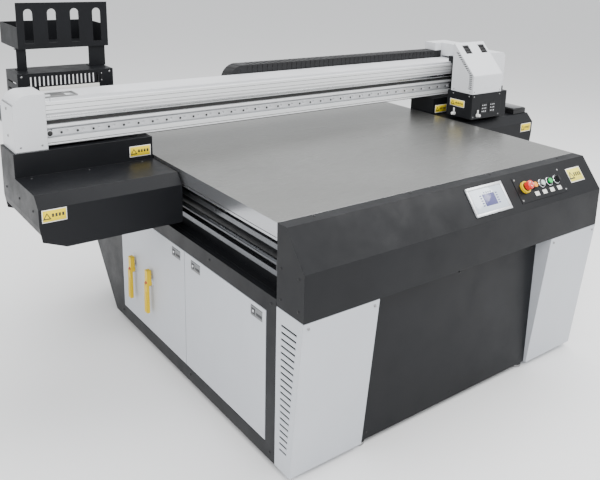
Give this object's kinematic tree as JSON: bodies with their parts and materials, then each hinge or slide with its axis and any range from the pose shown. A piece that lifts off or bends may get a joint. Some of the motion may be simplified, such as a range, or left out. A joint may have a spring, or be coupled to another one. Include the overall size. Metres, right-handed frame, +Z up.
{
  "type": "flatbed uv printer",
  "caption": "Flatbed UV printer: wide vacuum table on a panelled base, travelling gantry with print carriage, cable chain, ink rack and sloped control panel.",
  "frame": {"origin": "on the floor, under the middle of the base's outside box", "axes": "+Z up, +X to the right along the gantry, +Y from the control panel to the rear"},
  "size_m": [2.643, 1.85, 1.498],
  "materials": {
    "black_paint": "fine textured powder coat",
    "gray_paint": "light gray powder coat",
    "light_cover": "satin light gray",
    "table_metal": "satin anodised",
    "beam_metal": "anodised extrusion",
    "steel": "ground",
    "zinc": "zinc plated",
    "black_plastic": "moulded",
    "black_rubber": "smooth",
    "yellow_plastic": "moulded",
    "red_plastic": "moulded",
    "orange_plastic": "moulded",
    "clear_plastic": "moulded",
    "green_plastic": "moulded",
    "screen": "glass panel in a silver bezel",
    "motor_paint": "cast and painted"
  },
  "bodies": {
    "base": {"base_frame": "black_paint", "side_frame_left": "black_paint", "side_panel_right": "black_paint", "rear_panel": "black_paint", "center_panel": "black_paint", "corner_panel_left": "gray_paint", "corner_panel_right": "gray_paint", "front_hood": "black_paint", "control_plate": "black_paint", "touch_screen": "screen", "work_table": "table_metal", "vacuum_chamber": "beam_metal", "y_rails": "steel", "y_motors": "motor_paint", "vacuum_blower": "motor_paint", "electronics_box": "zinc", "levelling_feet": "zinc"},
    "screw_left": {"y_screw_left": "steel"},
    "screw_right": {"y_screw_right": "steel"},
    "front_door": {"front_door": "gray_paint"},
    "rear_door": {"rear_door": "gray_paint"},
    "latch_rear_door": {"latch_rear_door": "zinc"},
    "latch_front_door_rear": {"latch_front_door_rear": "zinc"},
    "latch_front_door_front": {"latch_front_door_front": "zinc"},
    "valve_lever_rear": {"valve_lever_rear": "yellow_plastic"},
    "valve_lever_front": {"valve_lever_front": "yellow_plastic"},
    "estop_button": {"estop_button": "red_plastic"},
    "orange_button": {"orange_button": "orange_plastic"},
    "clear_button": {"clear_button": "clear_plastic"},
    "green_button": {"green_button": "green_plastic"},
    "selector_knob": {"selector_knob": "black_plastic"},
    "caster_left": {"caster_fork_left": "zinc"},
    "caster_right": {"caster_fork_right": "zinc"},
    "front_wheel_left": {"front_wheel_left": "black_rubber"},
    "front_wheel_right": {"front_wheel_right": "black_rubber"},
    "rear_wheel_left": {"rear_wheel_left": "black_rubber"},
    "rear_wheel_right": {"rear_wheel_right": "black_rubber"},
    "gantry": {"gantry_box_left": "black_paint", "gantry_box_right": "black_paint", "y_carriages": "black_paint", "beam": "beam_metal", "beam_cover": "light_cover", "x_rails": "steel", "end_cap_left": "light_cover", "end_cap_right": "light_cover", "x_belt": "black_rubber", "x_drive_motor": "motor_paint", "chain_tray": "zinc", "ink_cabinet": "black_paint", "bottle_holder": "black_paint"},
    "drive_pulley": {"x_drive_pulley": "black_plastic"},
    "idler_pulley": {"x_idler_pulley": "black_plastic"},
    "chain": {"chain_bend": "black_plastic"},
    "carriage": {"carriage_frame": "black_paint", "carriage_cover": "light_cover", "carriage_skirt": "black_paint", "print_heads": "steel", "lamp_module": "light_cover", "chain_arm": "light_cover", "chain_upper": "black_plastic"}
  },
  "joints": [
    {"name": "gantry_slide", "type": "slide", "parent": "base", "child": "gantry", "axis": [0, 1, 0], "range_m": [-0.62, 0.47]},
    {"name": "carriage_slide", "type": "slide", "parent": "gantry", "child": "carriage", "axis": [1, 0, 0], "range_m": [-1.9, 0], "deforming": ["chain_upper"]},
    {"name": "chain_slide", "type": "slide", "parent": "gantry", "child": "chain", "axis": [1, 0, 0], "range_m": [-0.95, 0]},
    {"name": "drive_pulley_spin", "type": "hinge", "parent": "gantry", "child": "drive_pulley", "pos_m": [-1.2515, 0.199, 1.0945], "axis": [0, 0, 1], "continuous": true},
    {"name": "idler_pulley_spin", "type": "hinge", "parent": "gantry", "child": "idler_pulley", "pos_m": [1.2515, 0.199, 1.0945], "axis": [0, 0, 1], "continuous": true},
    {"name": "screw_left_spin", "type": "hinge", "parent": "base", "child": "screw_left", "pos_m": [-0.7475, 0, 0.752], "axis": [0, 1, 0], "continuous": true},
    {"name": "screw_right_spin", "type": "hinge", "parent": "base", "child": "screw_right", "pos_m": [0.7475, 0, 0.752], "axis": [0, 1, 0], "continuous": true},
    {"name": "rear_door_hinge", "type": "hinge", "parent": "base", "child": "rear_door", "pos_m": [-0.7785, 0.5075, 0.335], "axis": [0, 0, 1], "range_deg": [-110, 0]},
    {"name": "front_door_lift_off", "type": "slide", "parent": "base", "child": "front_door", "axis": [-1, 0, 0], "range_m": [0, 0.3]},
    {"name": "latch_rear_door_flip", "type": "hinge", "parent": "rear_door", "child": "latch_rear_door", "pos_m": [-0.7785, -0.045, 0.561], "axis": [0, 1, 0], "range_deg": [0, 50], "stiffness_Nm_per_rad": 0.3},
    {"name": "latch_front_door_rear_flip", "type": "hinge", "parent": "front_door", "child": "latch_front_door_rear", "pos_m": [-0.7785, -0.21, 0.561], "axis": [0, 1, 0], "range_deg": [0, 50], "stiffness_Nm_per_rad": 0.3},
    {"name": "latch_front_door_front_flip", "type": "hinge", "parent": "front_door", "child": "latch_front_door_front", "pos_m": [-0.7785, -0.651, 0.561], "axis": [0, 1, 0], "range_deg": [0, 50], "stiffness_Nm_per_rad": 0.3},
    {"name": "valve_lever_rear_turn", "type": "hinge", "parent": "rear_door", "child": "valve_lever_rear", "pos_m": [-0.7935, 0.371, 0.33], "axis": [1, 0, 0], "range_deg": [0, 90]},
    {"name": "valve_lever_front_turn", "type": "hinge", "parent": "rear_door", "child": "valve_lever_front", "pos_m": [-0.7935, 0.197, 0.33], "axis": [1, 0, 0], "range_deg": [-90, 0]},
    {"name": "estop_button_press", "type": "slide", "parent": "base", "child": "estop_button", "axis": [0, 0.7723, -0.6353], "range_m": [0, 0.005], "stiffness_N_per_m": 900},
    {"name": "orange_button_press", "type": "slide", "parent": "base", "child": "orange_button", "axis": [0, 0.7723, -0.6353], "range_m": [0, 0.005], "stiffness_N_per_m": 400},
    {"name": "clear_button_press", "type": "slide", "parent": "base", "child": "clear_button", "axis": [0, 0.7723, -0.6353], "range_m": [0, 0.005], "stiffness_N_per_m": 400},
    {"name": "green_button_press", "type": "slide", "parent": "base", "child": "green_button", "axis": [0, 0.7723, -0.6353], "range_m": [0, 0.005], "stiffness_N_per_m": 400},
    {"name": "selector_turn", "type": "hinge", "parent": "base", "child": "selector_knob", "pos_m": [0.5306, -0.8691, 0.85896], "axis": [0, -0.7723, 0.6353], "range_deg": [-45, 45]},
    {"name": "caster_swivel_left", "type": "hinge", "parent": "base", "child": "caster_left", "pos_m": [-0.378, -0.8, 0.06], "axis": [0, 0, 1], "continuous": true},
    {"name": "front_wheel_spin_left", "type": "hinge", "parent": "caster_left", "child": "front_wheel_left", "pos_m": [-0.378, -0.82, 0.028], "axis": [1, 0, 0], "continuous": true},
    {"name": "rear_wheel_spin_left", "type": "hinge", "parent": "base", "child": "rear_wheel_left", "pos_m": [-0.7265, 0.452, 0.028], "axis": [1, 0, 0], "continuous": true},
    {"name": "caster_swivel_right", "type": "hinge", "parent": "base", "child": "caster_right", "pos_m": [0.378, -0.8, 0.06], "axis": [0, 0, 1], "continuous": true},
    {"name": "front_wheel_spin_right", "type": "hinge", "parent": "caster_right", "child": "front_wheel_right", "pos_m": [0.378, -0.82, 0.028], "axis": [1, 0, 0], "continuous": true},
    {"name": "rear_wheel_spin_right", "type": "hinge", "parent": "base", "child": "rear_wheel_right", "pos_m": [0.7265, 0.452, 0.028], "axis": [1, 0, 0], "continuous": true}
  ],
  "couplings": [
    {"joint": "chain_slide", "follows": "carriage_slide", "ratio": 0.5},
    {"joint": "drive_pulley_spin", "follows": "carriage_slide", "rad_per_m": 21.505},
    {"joint": "idler_pulley_spin", "follows": "carriage_slide", "rad_per_m": 21.505},
    {"joint": "screw_left_spin", "follows": "gantry_slide", "rad_per_m": 314.16},
    {"joint": "screw_right_spin", "follows": "gantry_slide", "rad_per_m": 314.16}
  ]
}
